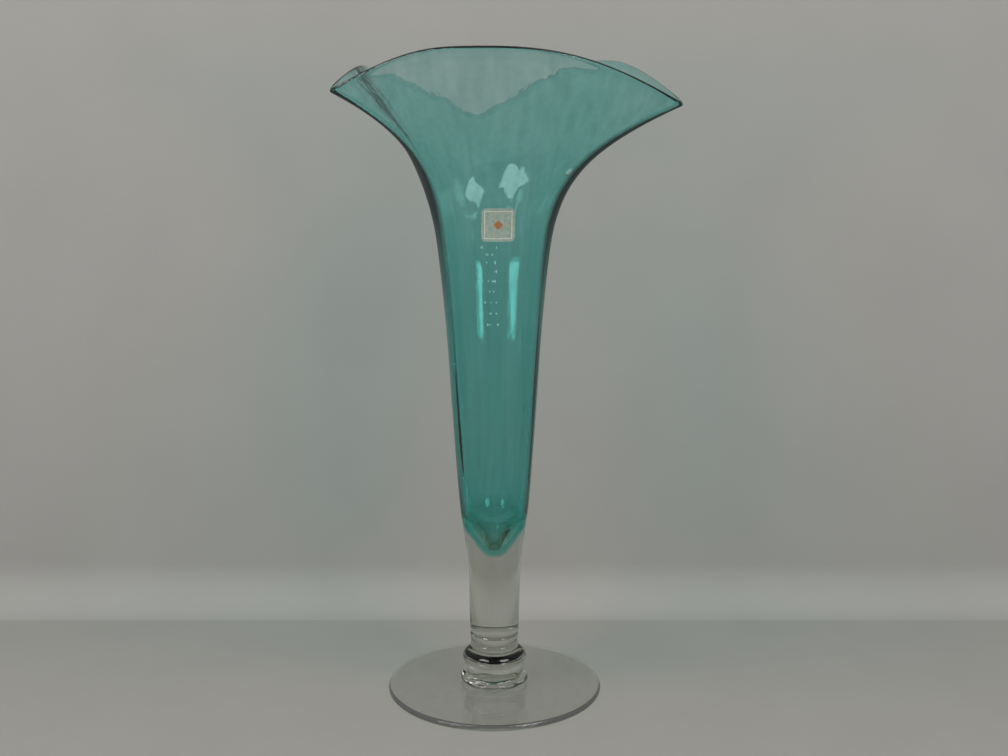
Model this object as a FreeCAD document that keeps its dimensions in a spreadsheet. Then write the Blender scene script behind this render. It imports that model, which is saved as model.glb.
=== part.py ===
import FreeCAD, Part
import math
import os
import Sketcher
from FreeCAD import Rotation, Vector

# A tall trumpet vase of hot-worked glass, in millimetres.
# +Z is up, and the origin is the centre of the foot's flat underside.
# The front of the vase faces -Y, and +X is to its right.
# The bowl's mouth is pinched into three pouring spouts, with a raised lobe of lip between each two.

SIZES = {
    # Foot disc: flat below, rising a little from its rounded edge to the knop's seat in the middle
    "foot_radius": 72.5,
    "foot_edge_thickness": 4.0,
    "foot_edge_rounding": 1.7,
    "foot_rise": 1.2,
    # Knop: the rounded pad of glass that joins the foot to the collar
    "knop_base_radius": 21.6,
    "knop_top_radius": 19.0,
    "knop_thickness": 6.6,
    "knop_bulge_radius": 4.0,
    # Collar: a wafer with a proud rim, domed above it and drawn in below
    "collar_base_radius": 18.2,
    "collar_belly_radius": 20.9,
    "collar_belly_curve": 34.0,
    "collar_belly_rise": 10.6,
    "collar_radius": 21.6,
    "collar_rim_width": 2.0,
    "collar_rim_rounding": 0.8,
    "collar_dome_rise": 3.8,
    "collar_top_radius": 17.2,
    "collar_dome_curve": 7.5,
    # Neck bead: a double ring, with a groove between the rings and at each end
    "bead_groove_radius": 15.3,
    "bead_ring_height": 6.3,
    "bead_bulge_radius": 5.2,
    # Stem: solid clear glass, slim below and swelling to the bowl
    "stem_base_radius": 16.3,
    "stem_base_rounding": 0.9,
    "stem_waist_radius": 17.3,
    "stem_waist_rise": 38.0,
    "stem_flare_curve": 240.0,
    # How far the stem's skin lies inside the bowl's where the two meet
    "joint_step": 0.9,
    # Bowl: a pointed solid nose, then a long tube that widens slowly up to the throat
    "nose_height": 94.8,
    "nose_flat_radius": 1.6,
    "nose_tip_radius": 4.2,
    "nose_radius": 8.4,
    "nose_rise": 8.6,
    "cone_radius": 12.4,
    "cone_rise": 17.4,
    "shoulder_radius": 19.6,
    "shoulder_drop": 3.0,
    "joint_radius": 21.9,
    "joint_height": 118.5,
    "heel_radius": 22.8,
    "heel_rise": 9.0,
    "lower_radius": 24.9,
    "lower_height": 150.0,
    "middle_radius": 28.5,
    "middle_height": 200.0,
    "upper_radius": 30.9,
    "upper_height": 245.0,
    "throat_radius": 36.0,
    "throat_height": 298.0,
    # Hollow of the bowl: the walls of its tube and lip, and its pointed bottom
    "tube_wall": 5.0,
    "lip_wall": 3.1,
    "hollow_height": 99.6,
    "hollow_flat_radius": 1.2,
    "hollow_tip_radius": 3.0,
    "hollow_cone_radius": 7.6,
    "hollow_cone_rise": 8.5,
    "hollow_joint_radius": 13.4,
    "hollow_heel_radius": 16.8,
    # Keel under each spout: how it leaves the throat and bends out to the tip
    "keel_start_run": 5.0,
    "keel_start_rise": 42.0,
    "keel_end_run": 62.0,
    "keel_end_drop": 26.0,
    # Wall under each lobe: how it leaves the throat and bends out to the lip
    "wall_start_run": 4.0,
    "wall_start_rise": 45.0,
    "wall_end_run": 20.0,
    "wall_end_drop": 30.0,
    # Spouts: how far out and how high the tip of each lies
    "right_spout_reach": 123.0,
    "right_spout_height": 387.5,
    "back_spout_reach": 118.0,
    "back_spout_height": 384.5,
    "left_spout_reach": 116.0,
    "left_spout_height": 394.5,
    # Lobes of the lip between the spouts, each where the lip is highest
    "right_back_lobe_reach": 86.0,
    "right_back_lobe_height": 418.5,
    "left_back_lobe_reach": 84.0,
    "left_back_lobe_height": 412.5,
    "front_lobe_reach": 87.0,
    "front_lobe_height": 417.5,
    # Label: a thin clear film stuck on the front of the bowl, just above the throat
    "label_side": 20.6,
    "label_corner": 3.2,
    "label_thickness": 0.25,
    "label_height": 316.4,
}

# Directions about Z, in degrees from +X towards +Y
RIGHT_SPOUT_DEGREES = -24.0
BACK_SPOUT_DEGREES = 96.0
LEFT_SPOUT_DEGREES = 216.0
SPOUT_DEGREES = {
    "right": RIGHT_SPOUT_DEGREES,
    "back": BACK_SPOUT_DEGREES,
    "left": LEFT_SPOUT_DEGREES,
}
LABEL_DEGREES = -85.6
FULL_TURN = 360.0

# The lobes in order round the lip: the spouts that each lies between, where along it the lip is
# highest, and how full its shoulders are
LOBES_SHARES = (
    ("right_back", "right", "back", 0.5, 2.3),
    ("left_back", "back", "left", 0.62, 2.8),
    ("front", "left", "right", 0.38, 3.0),
)

# Stations round the lip, from a keel to the middle of the lobe beside it, closest at the keel
STATION_SHARES = (0.0, 0.014, 0.035, 0.075, 0.14, 0.24, 0.36, 0.5)

# Levels of the flare above the throat, up to the lip
LEVEL_SHARES = (0.16, 0.32, 0.48, 0.62, 0.75, 0.87, 0.95, 1.0)

# A keel's crease is tight at the lip and melts away towards the throat
CREASE_SHARE = 0.035
MELT_SHARE = 0.5
SPREAD_SHARE = 1.4

# The lip's edge is rounded over by this much of its wall
CROWN_SHARE = 0.45

# A helper solid closes over the mouth at this much of the lip's reach
CAP_SHARE = 0.5

# An edge is found by its radius and height, to this much of the rounding put on it
SLACK_SHARE = 0.1

CUBIC = 3

# Two places are the same when they are this close
SAME_PLACE = 1e-6

# How a sketch numbers the two ends of a side
SIDE_START = 1
SIDE_END = 2


def make_sheet(document):
    """The driving dimensions, one alias to a row."""
    sheet = document.addObject("Spreadsheet::Sheet", "sizes")
    for row, (alias, value) in enumerate(SIZES.items(), start=1):
        sheet.set(f"A{row}", alias)
        sheet.set(f"B{row}", str(value))
        sheet.setAlias(f"B{row}", alias)
    document.recompute()
    return sheet


def value_of(sheet, expression):
    """The present value of an expression in the sheet's aliases."""
    return float(sheet.evalExpression(expression))


def bound(expression):
    """The same expression as another object writes it, with each alias named in the sheet."""
    words = expression.replace("(", "( ").replace(")", " )").split()
    return " ".join(f"sizes.{word}" if word in SIZES else word for word in words)


def make_sketch(body, name, role):
    """A sketch on one of the body's own origin planes."""
    sketch = body.newObject("Sketcher::SketchObject", name)
    plane = next(plane for plane in body.Origin.OriginFeatures if plane.Role == role)
    sketch.AttachmentSupport = [(plane, "")]
    sketch.MapMode = "FlatFace"
    return sketch


def side_curve(start, end, radius):
    """A side of an outline: a line, or an arc that bulges to the right where its radius is positive."""
    if not radius:
        return Part.LineSegment(start, end)
    chord = end - start
    right = Vector(chord.y, -chord.x, 0).normalize()
    reach = math.sqrt(radius**2 - (chord.Length / 2) ** 2)
    sagitta = abs(radius) - reach
    middle = (start + end) * 0.5
    return Part.Arc(start, middle + right * math.copysign(sagitta, radius), end)


def draw_outline(sketch, sheet, corners, curves=None):
    """A closed outline whose corners and curved sides are tied to the sheet.

    corners holds a pair of expressions for each corner. curves gives a side's radius expression by
    the number of the corner that it starts from, written with a leading minus where it is hollow.
    """
    curves = curves or {}
    spots = [Vector(value_of(sheet, across), value_of(sheet, up), 0) for across, up in corners]
    sides = range(len(corners))
    for side in sides:
        radius = value_of(sheet, curves[side]) if side in curves else 0
        sketch.addGeometry(side_curve(spots[side], spots[(side + 1) % len(spots)], radius))
    starts, ends = [], []
    for side in sides:
        forward = sketch.getPoint(side, SIDE_START).isEqual(spots[side], SAME_PLACE)
        starts.append(SIDE_START if forward else SIDE_END)
        ends.append(SIDE_END if forward else SIDE_START)
    for side in sides:
        after = (side + 1) % len(spots)
        sketch.addConstraint(Sketcher.Constraint("Coincident", side, ends[side], after, starts[after]))
    for side, (across, up) in enumerate(corners):
        for kind, expression in (("DistanceX", across), ("DistanceY", up)):
            place = Sketcher.Constraint(kind, -1, 1, side, starts[side], value_of(sheet, expression))
            index = sketch.addConstraint(place)
            sketch.setExpression(f"Constraints[{index}]", bound(expression))
    for side, radius in curves.items():
        bend = Sketcher.Constraint("Radius", side, abs(value_of(sheet, radius)))
        index = sketch.addConstraint(bend)
        sketch.setExpression(f"Constraints[{index}]", bound(radius.lstrip("- ")))


def make_turned(document, sheet, name, corners, curves=None):
    """A body turned about Z from an outline of radii and heights."""
    body = document.addObject("PartDesign::Body", name)
    body.Label = name
    sketch = make_sketch(body, name + "_outline", "XZ_Plane")
    draw_outline(sketch, sheet, corners, curves)
    document.recompute()
    turned = body.newObject("PartDesign::Revolution", name + "_turned")
    turned.Profile = sketch
    turned.ReferenceAxis = (sketch, ["V_Axis"])
    turned.Angle = FULL_TURN
    document.recompute()
    return body


def round_rims(document, sheet, body, rounding, rims):
    """Round the level edges that lie at the given radii and heights."""
    base = body.Tip
    slack = value_of(sheet, rounding) * SLACK_SHARE
    places = [(value_of(sheet, across), value_of(sheet, up)) for across, up in rims]
    edges = []
    for number, edge in enumerate(base.Shape.Edges, start=1):
        box = edge.BoundBox
        for across, up in places:
            if box.ZLength < slack and abs(box.ZMax - up) < slack and abs(box.XMax - across) < slack:
                edges.append(f"Edge{number}")
    fillet = body.newObject("PartDesign::Fillet", body.Name + "_rounded")
    fillet.Base = (base, edges)
    fillet.setExpression("Radius", bound(rounding))
    document.recompute()


def make_foot(document, sheet):
    """The foot: a flat disc with a rounded edge, a little thicker under the knop."""
    seat = "foot_edge_thickness + foot_rise"
    corners = [
        ("0", "0"),
        ("foot_radius", "0"),
        ("foot_radius", "foot_edge_thickness"),
        ("knop_base_radius", seat),
        ("0", seat),
    ]
    body = make_turned(document, sheet, "foot", corners)
    round_rims(document, sheet, body, "foot_edge_rounding", corners[1:3])
    return body, seat


def make_knop(document, sheet, seat):
    """The knop: a flattened ball between the foot and the collar."""
    top = f"{seat} + knop_thickness"
    corners = [("0", seat), ("knop_base_radius", seat), ("knop_top_radius", top), ("0", top)]
    return make_turned(document, sheet, "knop", corners, {1: "knop_bulge_radius"}), top


def make_collar(document, sheet, seat):
    """The collar: a belly that swells up to a proud rim, with a dome above the rim."""
    belly = f"{seat} + collar_belly_rise"
    rim = f"{belly} + collar_rim_width"
    top = f"{rim} + collar_dome_rise"
    corners = [
        ("0", seat),
        ("collar_base_radius", seat),
        ("collar_belly_radius", belly),
        ("collar_radius", belly),
        ("collar_radius", rim),
        ("collar_top_radius", top),
        ("0", top),
    ]
    curves = {1: "collar_belly_curve", 4: "collar_dome_curve"}
    body = make_turned(document, sheet, "collar", corners, curves)
    round_rims(document, sheet, body, "collar_rim_rounding", [corners[4]])
    return body, top


def make_neck_bead(document, sheet, seat):
    """The neck bead: two soft rings, one above the other."""
    crease = f"{seat} + bead_ring_height"
    top = f"{crease} + bead_ring_height"
    corners = [
        ("0", seat),
        ("bead_groove_radius", seat),
        ("bead_groove_radius", crease),
        ("bead_groove_radius", top),
        ("0", top),
    ]
    curves = {1: "bead_bulge_radius", 2: "bead_bulge_radius"}
    return make_turned(document, sheet, "neck_bead", corners, curves), top


def make_stem_blank(document, sheet, seat):
    """The stem before the bowl's nose is let into its top."""
    waist = f"{seat} + stem_waist_rise"
    skin = "joint_radius - joint_step"
    corners = [
        ("0", seat),
        ("stem_base_radius", seat),
        ("stem_waist_radius", waist),
        (skin, "joint_height"),
        ("0", "joint_height"),
    ]
    body = make_turned(document, sheet, "stem_blank", corners, {2: "- stem_flare_curve"})
    round_rims(document, sheet, body, "stem_base_rounding", [corners[1]])
    return body


def bezier(points, share):
    """A point of a cubic curve from its four control points."""
    rest = 1 - share
    weights = (rest**3, CUBIC * rest**2 * share, CUBIC * rest * share**2, share**3)
    return sum((point * weight for point, weight in zip(points, weights)), Vector())


def crease_weight(along_share, level_share, fullness):
    """How much a place on the lobe still follows the keel: 1 on the keel and 0 at the lobe's peak."""
    softness = CREASE_SHARE + MELT_SHARE * (1 - level_share)
    bend = (math.hypot(along_share, softness) - softness) / (math.hypot(1, softness) - softness)
    return max(0.0, 1 - bend) ** fullness


class Flare:
    """The trumpet's mouth, as outlines in (radius, height) at any direction about Z."""

    def __init__(self, sheet):
        self.size = {alias: float(getattr(sheet, alias)) for alias in SIZES}

    def throat(self):
        """Where the flare leaves the tube."""
        return Vector(self.size["throat_radius"], 0, self.size["throat_height"])

    def spine(self, kind, tip):
        """The four control points of a keel or a lobe's wall, from the throat to its tip."""
        start = Vector(self.size[kind + "_start_run"], 0, self.size[kind + "_start_rise"])
        end = Vector(self.size[kind + "_end_run"], 0, self.size[kind + "_end_drop"])
        throat = self.throat()
        return throat, throat + start, tip - end, tip

    def tip(self, name):
        """The lip at a spout's tip or a lobe's peak."""
        return Vector(self.size[name + "_reach"], 0, self.size[name + "_height"])

    def stations(self):
        """Each direction round the lip with its lobe, its nearer spout and how far along it lies."""
        found = []
        for lobe, first, second, peak_share, fullness in LOBES_SHARES:
            start = SPOUT_DEGREES[first]
            sector = (SPOUT_DEGREES[second] - start) % FULL_TURN
            inner_shares = [1 - share for share in reversed(STATION_SHARES[1:-1])]
            for share in list(STATION_SHARES) + inner_shares:
                early = share < peak_share
                spout = first if early else second
                along = share / peak_share if early else (1 - share) / (1 - peak_share)
                found.append((start + share * sector, lobe, spout, along, fullness))
        return found

    def outline(self, station):
        """The flare's outer outline at one station, from the throat to the lip."""
        _, lobe, spout, along, fullness = station
        keel = self.spine("keel", self.tip(spout + "_spout"))
        wall = self.spine("wall", self.tip(lobe + "_lobe"))
        points = []
        for level in LEVEL_SHARES:
            low, high = bezier(keel, level), bezier(wall, level)
            out = crease_weight(along, level, SPREAD_SHARE * (1 + level))
            lift = crease_weight(along, level, SPREAD_SHARE + (fullness - SPREAD_SHARE) * level)
            points.append(Vector(high.x + (low.x - high.x) * out, 0, high.z + (low.z - high.z) * lift))
        return points

    def tube(self):
        """The bowl's outer outline from the tip of the nose up to the throat."""
        size = self.size
        nose, joint = size["nose_height"], size["joint_height"]
        return [
            Vector(size["nose_flat_radius"], 0, nose),
            Vector(size["nose_tip_radius"], 0, nose),
            Vector(size["nose_radius"], 0, nose + size["nose_rise"]),
            Vector(size["cone_radius"], 0, nose + size["cone_rise"]),
            Vector(size["shoulder_radius"], 0, joint - size["shoulder_drop"]),
            Vector(size["joint_radius"], 0, joint),
            Vector(size["heel_radius"], 0, joint + size["heel_rise"]),
            Vector(size["lower_radius"], 0, size["lower_height"]),
            Vector(size["middle_radius"], 0, size["middle_height"]),
            Vector(size["upper_radius"], 0, size["upper_height"]),
            self.throat(),
        ]

    def hollow_bottom(self):
        """The hollow's outline from beside the heel down to its pointed bottom."""
        size = self.size
        bottom, joint = size["hollow_height"], size["joint_height"]
        return [
            Vector(size["hollow_heel_radius"], 0, joint + size["heel_rise"]),
            Vector(size["hollow_joint_radius"], 0, joint),
            Vector(size["hollow_cone_radius"], 0, bottom + size["hollow_cone_rise"]),
            Vector(size["hollow_tip_radius"], 0, bottom),
            Vector(size["hollow_flat_radius"], 0, bottom),
        ]


def inward(outline, number, depth):
    """A point of an outline moved into the glass, square to the outline there."""
    *_, last = range(len(outline))
    along = outline[min(number + 1, last)] - outline[max(number - 1, 0)]
    return outline[number] + Vector(-along.z, 0, along.x).normalize() * depth


def shell_outline(flare, station):
    """The whole bowl's outline: up its outside, over the lip and down the hollow."""
    tube = flare.tube()
    outer = tube + flare.outline(station)
    lip_wall, tube_wall = flare.size["lip_wall"], flare.size["tube_wall"]
    *_, last = range(len(outer))
    lower = next(row for row, spot in enumerate(tube) if spot.z == flare.size["lower_height"])
    inner = []
    for number in range(last, lower - 1, -1):
        thinning = (number - lower) / (last - lower)
        inner.append(inward(outer, number, tube_wall + (lip_wall - tube_wall) * thinning))
    crown = (outer[last] - outer[last - 1]).normalize() * lip_wall * CROWN_SHARE
    return outer + [outer[last] + crown, inner[0] + crown] + inner + flare.hollow_bottom()


def core_outline(flare, station, growth=0):
    """The bowl's outside as a solid form, closed over the mouth and grown by a thickness."""
    outer = flare.tube() + flare.outline(station)
    grown = [inward(outer, number, -growth) for number in range(len(outer))]
    return grown + [Vector(grown[-1].x * CAP_SHARE, 0, flare.size["front_lobe_height"])]


def swept_solid(flare, outline_at):
    """A closed solid through the outlines at all the stations, flat where they start and end."""
    stations = flare.stations()
    turns = [math.radians(station[0]) for station in stations]
    rows = []
    ring = Part.BSplineCurve()
    for level in zip(*(outline_at(station) for station in stations)):
        ring.interpolate(
            Points=[Vector(p.x * math.cos(turn), p.x * math.sin(turn), p.z) for p, turn in zip(level, turns)],
            PeriodicFlag=True,
            Parameters=turns + [turns[0] + math.tau],
        )
        rows.append(ring.getPoles())
    spans = len(rows) - CUBIC
    surface = Part.BSplineSurface()
    surface.buildFromPolesMultsKnots(
        list(zip(*rows)),
        ring.getMultiplicities(),
        [CUBIC + 1] + [1] * (spans - 1) + [CUBIC + 1],
        ring.getKnots(),
        list(range(spans + 1)),
        True,
        False,
        CUBIC,
        CUBIC,
    )
    side = surface.toShape()
    ends = [edge for edge in side.Edges if edge.BoundBox.ZLength < edge.Length * SLACK_SHARE]
    discs = [Part.Face(Part.Wire([edge])) for edge in ends]
    shell = Part.Shell([side] + discs)
    shell.sewShape()
    solid = Part.Solid(shell)
    if solid.Volume < 0:
        solid.reverse()
    return solid


def make_blown(document, name, shape):
    """A free-blown form held as a shape of its own."""
    form = document.addObject("Part::Feature", name)
    form.Label = name
    form.Shape = shape
    form.Placement = FreeCAD.Placement()
    return form


def make_bowl(document, flare):
    """The bowl: one blown piece of glass from the nose to the lip."""
    return make_blown(document, "trumpet_bowl", swept_solid(flare, lambda at: shell_outline(flare, at)))


def make_stem(document, blank, core):
    """The stem, with the bowl's nose let into its top."""
    stem = document.addObject("Part::Cut", "stem")
    stem.Label = "stem"
    stem.Base = blank
    stem.Tool = core
    document.recompute()
    return stem


def make_label_block(document, sheet):
    """A rounded square block whose end is as large as the label."""
    body = document.addObject("PartDesign::Body", "label_block")
    sketch = make_sketch(body, "label_square", "XZ_Plane")
    half = "label_side / 2"
    corners = [(f"{x}{half}", f"{y}{half}") for x, y in (("- ", "- "), ("", "- "), ("", ""), ("- ", ""))]
    draw_outline(sketch, sheet, corners)
    document.recompute()
    pad = body.newObject("PartDesign::Pad", "label_depth")
    pad.Profile = sketch
    pad.setExpression("Length", bound("throat_radius * 2"))
    document.recompute()
    half_side = value_of(sheet, half)
    edges = [
        f"Edge{number}"
        for number, edge in enumerate(pad.Shape.Edges, start=1)
        if edge.BoundBox.YLength > half_side
    ]
    rounded = body.newObject("PartDesign::Fillet", "label_corners")
    rounded.Base = (pad, edges)
    rounded.setExpression("Radius", bound("label_corner"))
    body.Placement.Rotation = Rotation(Vector(0, 0, 1), LABEL_DEGREES + FULL_TURN / 4)
    body.setExpression("Placement.Base.z", bound("label_height"))
    document.recompute()
    return body


def make_label(document, sheet, flare, core):
    """The label: a film that follows the bowl's outside, cut to a rounded square."""
    thickness = value_of(sheet, "label_thickness")
    skin = make_blown(document, "label_skin", swept_solid(flare, lambda at: core_outline(flare, at, thickness)))
    patch = document.addObject("Part::Common", "label_patch")
    patch.Base = skin
    patch.Tool = make_label_block(document, sheet)
    label = document.addObject("Part::Cut", "label")
    label.Label = "label"
    label.Base = patch
    label.Tool = core
    document.recompute()
    return label


def check(document, pieces):
    """Stop if anything failed to build."""
    for thing in document.Objects:
        if {"Invalid", "Error"} & set(thing.State):
            raise RuntimeError(f"{thing.Name} failed: {thing.State}")
    for piece in pieces:
        shape = piece.Shape
        if shape.isNull() or not shape.isValid() or len(shape.Solids) != 1 or shape.Volume <= 0:
            raise RuntimeError(f"{piece.Label} isn't one good solid: {len(shape.Solids)}, {shape.Volume}")


def main():
    document = FreeCAD.newDocument("trumpet_vase")
    sheet = make_sheet(document)
    flare = Flare(sheet)
    foot, seat = make_foot(document, sheet)
    knop, seat = make_knop(document, sheet, seat)
    collar, seat = make_collar(document, sheet, seat)
    neck_bead, seat = make_neck_bead(document, sheet, seat)
    blank = make_stem_blank(document, sheet, seat)
    core = make_blown(document, "bowl_core", swept_solid(flare, lambda at: core_outline(flare, at)))
    stem = make_stem(document, blank, core)
    bowl = make_bowl(document, flare)
    label = make_label(document, sheet, flare, core)
    pieces = [foot, knop, collar, neck_bead, stem, bowl, label]
    document.recompute()
    check(document, pieces)
    os.makedirs("parts", exist_ok=True)
    for piece in pieces:
        shape = piece.Shape
        box = shape.BoundBox
        print(f"{piece.Label}: {shape.Volume / 1000:.2f} cm3, z {box.ZMin:.1f} to {box.ZMax:.1f}")
        shape.exportStep(f"parts/{piece.Label}.step")


main()
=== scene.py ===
"""A free-blown trumpet vase: a teal bowl with three pinched spouts, on a solid clear stem and foot.

Lengths are in metres unless a name ends in _mm, angles are in degrees, and every piece lies in the
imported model's frame: +Z is up, the foot's underside is at zero and the front faces -Y.
"""

import logging
import math
import random
from dataclasses import dataclass, field
from enum import Enum

import bmesh
import bpy
import numpy as np
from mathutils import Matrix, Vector


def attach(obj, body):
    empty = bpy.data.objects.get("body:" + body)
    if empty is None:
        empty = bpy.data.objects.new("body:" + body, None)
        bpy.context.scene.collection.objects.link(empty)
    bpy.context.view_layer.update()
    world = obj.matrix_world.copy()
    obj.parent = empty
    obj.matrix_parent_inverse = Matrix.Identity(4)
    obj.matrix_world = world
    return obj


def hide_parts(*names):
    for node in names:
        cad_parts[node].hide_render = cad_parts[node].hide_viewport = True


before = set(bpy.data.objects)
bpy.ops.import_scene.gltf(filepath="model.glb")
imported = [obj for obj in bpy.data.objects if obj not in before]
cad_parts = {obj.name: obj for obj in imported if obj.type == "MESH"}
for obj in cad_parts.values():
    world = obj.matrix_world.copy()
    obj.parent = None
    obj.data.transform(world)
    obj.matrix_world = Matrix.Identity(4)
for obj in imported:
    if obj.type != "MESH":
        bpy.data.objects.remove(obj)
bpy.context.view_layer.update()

MM = 0.001
FULL_TURN = 360.0
BODY = "root"
FUSED = "fused"
# Share of a pale rough shader on a face: painted glints on the bubbles in the bowl's wall, and a pale band on the
# foot's outer edge
FROST_AND_GLINT = "frost_and_glint"
# Share of painted shade on a face: a dark shader mixed in where the skin is seen at a grazing angle, painting dark
# outlines
PAINTED_EDGE_SHADE = "painted_edge_shade"
DEPTH_OF_TINT = "depth_of_tint"
# Clear space between the skins of two pieces that are melted together
MELT_GAP_MM = 0.02
# Two lengths or heights closer than this are the same
SAME_PLACE = 1e-6
TINY = 1e-12
SMOOTH_ANGLE = math.radians(32)
LOG = logging.getLogger("trumpet_vase")

Number = float | int
Colour = tuple[float, float, float]


class Slot(Enum):
    """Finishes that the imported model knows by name."""

    TEAL = "teal_glass"
    CLEAR = "clear_glass"
    FILM = "label_film"


class Spout(Enum):
    """The pouring spouts, by the side that each points to."""

    RIGHT = "right"
    BACK = "back"
    LEFT = "left"


class Signal:
    """A number that leaves a node and takes part in plain arithmetic."""

    def __init__(self, board: "Board", socket: bpy.types.NodeSocket) -> None:
        """Wrap one output socket."""
        self.board = board
        self.socket = socket

    def other(self, name: str) -> "Signal":
        """Another output of the same node."""
        return Signal(self.board, self.socket.node.outputs[name])

    def _maths(self, operation: str, first: "Signal | Number", second: "Signal | Number") -> "Signal":
        """Join two numbers in a Math node."""
        return self.board.add("ShaderNodeMath", {"operation": operation}, {0: first, 1: second})

    def __add__(self, value: "Signal | Number") -> "Signal":
        """Sum."""
        return self._maths("ADD", self, value)

    __radd__ = __add__

    def __sub__(self, value: "Signal | Number") -> "Signal":
        """Difference."""
        return self._maths("SUBTRACT", self, value)

    def __rsub__(self, value: Number) -> "Signal":
        """Difference with a number first."""
        return self._maths("SUBTRACT", value, self)

    def __mul__(self, value: "Signal | Number") -> "Signal":
        """Product."""
        return self._maths("MULTIPLY", self, value)

    __rmul__ = __mul__

    def __or__(self, value: "Signal | Number") -> "Signal":
        """The larger of two masks."""
        return self._maths("MAXIMUM", self, value)

    def size(self) -> "Signal":
        """The number without its sign."""
        return self._maths("ABSOLUTE", self, 0.0)

    def below(self, limit: Number) -> "Signal":
        """1 where the number is under the limit, and 0 elsewhere."""
        return self._maths("LESS_THAN", self, limit)

    def ramp(self, *stops: tuple[float, Colour]) -> "Signal":
        """A colour for the number, from a ramp's stops."""
        return self.board.add("ShaderNodeValToRGB", {"stops": stops}, {0: self})


class Board:
    """The node tree of one material or of the world."""

    def __init__(self, owner: bpy.types.Material | bpy.types.World) -> None:
        """Empty the owner's tree."""
        owner.use_nodes = True
        self.tree = owner.node_tree
        self.tree.nodes.clear()

    def add(self, kind: str, settings: dict | None = None, inputs: dict | None = None) -> Signal:
        """Place any node.

        Args:
            kind: The node's type.
            settings: Its properties, or a ramp's stops.
            inputs: Values or signals by the socket's name or number.

        Returns:
            Its first output, or a Mix node's colour output.
        """
        node = self.tree.nodes.new(kind)
        for name, value in (settings or {}).items():
            if name == "stops":
                self._set_stops(node.color_ramp, value)
            else:
                setattr(node, name, value)
        for key, value in (inputs or {}).items():
            socket = node.inputs[key]
            if isinstance(value, Signal):
                self.tree.links.new(value.socket, socket)
            elif isinstance(value, tuple) and len(value) == 3 and socket.type == "RGBA":
                socket.default_value = (*value, 1.0)
            else:
                socket.default_value = value
        outputs = [socket for socket in node.outputs if socket.enabled]
        return Signal(self, outputs[0]) if outputs else None

    @staticmethod
    def _set_stops(ramp: bpy.types.ColorRamp, stops: tuple[tuple[float, Colour], ...]) -> None:
        """Give a ramp its stops."""
        while len(ramp.elements) < len(stops):
            ramp.elements.new(1.0)
        for element, (place, colour) in zip(ramp.elements, stops):
            element.position = place
            element.color = (*colour, 1.0)

    def mix(self, share: Signal, first: Signal | Colour, second: Signal | Colour) -> Signal:
        """A colour between two others."""
        return self.add("ShaderNodeMix", {"data_type": "RGBA"}, {0: share, 6: first, 7: second})

    def choose(self, share: Signal, first: Signal, second: Signal) -> Signal:
        """A shader between two others."""
        return self.add("ShaderNodeMixShader", None, {0: share, 1: first, 2: second})

    def noise(self, place: Signal, scale: float, detail: float, stretch: Colour = (1.0, 1.0, 1.0)) -> Signal:
        """Soft noise, stretched along each axis."""
        mapped = self.add("ShaderNodeMapping", None, {"Vector": place, "Scale": stretch})
        settings = {"noise_dimensions": "3D"}
        values = {"Vector": mapped, "Scale": scale, "Detail": detail, "Roughness": 0.55}
        return self.add("ShaderNodeTexNoise", settings, values)

    def finish(self, surface: Signal, **more: Signal) -> None:
        """Send the shader to the material's output."""
        self.add("ShaderNodeOutputMaterial", None, {"Surface": surface, **more})

    def mark(self, name: str) -> Signal:
        """A share that the mesh holds for each face."""
        return self.add("ShaderNodeAttribute", {"attribute_name": name}).other("Fac")

    def principled(self, **inputs: Signal | Colour | Number) -> Signal:
        """A Principled shader, whose inputs are given with _ for each space."""
        named = {name.replace("_", " "): value for name, value in inputs.items()}
        return self.add("ShaderNodeBsdfPrincipled", None, named)

    def see_through(self, colour: Colour = (1.0, 1.0, 1.0)) -> Signal:
        """A shader that lets light straight through, tinted."""
        return self.add("ShaderNodeBsdfTransparent", None, {"Color": colour})

    def bump(self, strength: float, distance: float, height: Signal) -> Signal:
        """A normal that follows a height."""
        return self.add("ShaderNodeBump", None, {"Strength": strength, "Distance": distance, "Height": height})


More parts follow.
